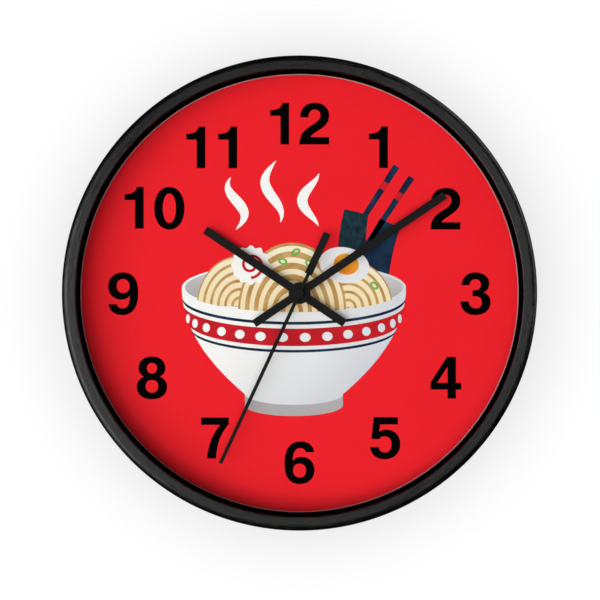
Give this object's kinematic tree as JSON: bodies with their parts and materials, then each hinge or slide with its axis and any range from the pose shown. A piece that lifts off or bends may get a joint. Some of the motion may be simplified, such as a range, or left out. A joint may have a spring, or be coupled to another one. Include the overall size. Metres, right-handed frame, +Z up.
{
  "type": "wall clock",
  "caption": "Round wall clock with a deep black ring frame, a clear lens, a printed numeral dial, plain bar hands for hours, minutes and seconds, and a battery quartz movement behind.",
  "frame": {"origin": "on the wall plane, where the top of the hanger's keyhole slot rests on its nail", "axes": "+Y into the wall, so the dial faces -Y; +Z up; +X to the right as seen from the front"},
  "size_m": [0.25, 0.042, 0.25],
  "materials": {
    "black_wood": "satin black paint over close wood grain",
    "matt_black": "matt black",
    "clear_acrylic": "clear, polished",
    "dial_print": "printed sheet, satin",
    "hardboard": "pressed fibre board",
    "zinc_plated_steel": "zinc plated",
    "steel": "bright",
    "brass": "bright",
    "enamelled_copper": "fine enamelled wire",
    "magnet": "sintered",
    "case_plastic": "moulded, fine texture",
    "gear_plastic": "moulded acetal",
    "black_rubber": "matt",
    "cell_wrap": "printed wrap, gloss",
    "board_green": "solder resist",
    "chip_black": "epoxy",
    "hand_black": "matt black paint on sheet aluminium"
  },
  "bodies": {
    "clock_body": {"frame_ring": "black_wood", "lens": "clear_acrylic", "spacer_ring": "matt_black", "dial_face": "dial_print", "dial_board": "hardboard", "board_clip_1": "zinc_plated_steel", "board_clip_2": "zinc_plated_steel", "board_clip_3": "zinc_plated_steel", "board_clip_4": "zinc_plated_steel", "clip_screw_1": "zinc_plated_steel", "clip_screw_2": "zinc_plated_steel", "clip_screw_3": "zinc_plated_steel", "clip_screw_4": "zinc_plated_steel", "hanger_plate": "zinc_plated_steel", "hanger_screw_1": "zinc_plated_steel", "hanger_screw_2": "zinc_plated_steel", "movement_case": "case_plastic", "movement_cover": "case_plastic", "mid_plate": "gear_plastic", "threaded_bushing": "brass", "rubber_washer": "black_rubber", "flat_washer": "brass", "hex_nut": "brass", "aa_battery": "cell_wrap", "contact_positive": "zinc_plated_steel", "contact_negative": "zinc_plated_steel", "circuit_board": "board_green", "driver_chip": "chip_black", "quartz_crystal": "steel", "coil_bobbin": "gear_plastic", "coil_winding": "enamelled_copper", "coil_core": "steel", "stator_plate": "steel"},
    "second_train": {"second_wheel": "gear_plastic", "second_arbor": "steel", "second_hand": "hand_black", "second_hand_boss": "hand_black"},
    "rotor": {"rotor_magnet": "magnet", "rotor_pinion": "gear_plastic"},
    "intermediate": {"intermediate_wheel": "gear_plastic"},
    "third": {"third_wheel": "gear_plastic"},
    "centre": {"centre_wheel": "brass", "clutch_spring": "steel"},
    "minute_train": {"minute_arbor": "brass", "minute_hand": "hand_black", "minute_nut": "hand_black"},
    "hour_friction": {"hour_washer": "brass"},
    "hour_train": {"hour_wheel": "gear_plastic", "hour_hand": "hand_black"},
    "motion_friction": {"motion_washer": "brass"},
    "motion": {"motion_wheel": "gear_plastic", "setting_knob": "case_plastic"}
  },
  "joints": [
    {"name": "second_spin", "type": "hinge", "parent": "clock_body", "child": "second_train", "pos_m": [0, 0, -0.108], "axis": [0, 1, 0], "continuous": true},
    {"name": "rotor_spin", "type": "hinge", "parent": "clock_body", "child": "rotor", "pos_m": [-0.00178, 0, -0.09367], "axis": [0, 1, 0], "continuous": true},
    {"name": "intermediate_spin", "type": "hinge", "parent": "clock_body", "child": "intermediate", "pos_m": [0.00152, 0, -0.09938], "axis": [0, 1, 0], "continuous": true},
    {"name": "third_spin", "type": "hinge", "parent": "clock_body", "child": "third", "pos_m": [0.0096, 0, -0.108], "axis": [0, 1, 0], "continuous": true},
    {"name": "centre_spin", "type": "hinge", "parent": "clock_body", "child": "centre", "pos_m": [0, 0, -0.108], "axis": [0, 1, 0], "continuous": true},
    {"name": "hour_friction_spin", "type": "hinge", "parent": "clock_body", "child": "hour_friction", "pos_m": [0, 0, -0.108], "axis": [0, 1, 0], "continuous": true},
    {"name": "motion_friction_spin", "type": "hinge", "parent": "clock_body", "child": "motion_friction", "pos_m": [-0.00866, 0, -0.103], "axis": [0, 1, 0], "continuous": true},
    {"name": "hand_setting", "type": "hinge", "parent": "centre", "child": "minute_train", "pos_m": [0, 0, -0.108], "axis": [0, 1, 0], "continuous": true},
    {"name": "hour_spin", "type": "hinge", "parent": "hour_friction", "child": "hour_train", "pos_m": [0, 0, -0.108], "axis": [0, 1, 0], "continuous": true},
    {"name": "motion_spin", "type": "hinge", "parent": "motion_friction", "child": "motion", "pos_m": [-0.00866, 0, -0.103], "axis": [0, 1, 0], "continuous": true}
  ],
  "couplings": [
    {"joint": "rotor_spin", "follows": "second_spin", "ratio": 30},
    {"joint": "intermediate_spin", "follows": "second_spin", "ratio": -6},
    {"joint": "third_spin", "follows": "second_spin", "ratio": -0.13333},
    {"joint": "centre_spin", "follows": "second_spin", "ratio": 0.016667},
    {"joint": "hour_friction_spin", "follows": "second_spin", "ratio": 0.0013889},
    {"joint": "motion_friction_spin", "follows": "second_spin", "ratio": -0.0055556},
    {"joint": "hour_spin", "follows": "hand_setting", "ratio": 0.083333},
    {"joint": "motion_spin", "follows": "hand_setting", "ratio": -0.33333}
  ]
}
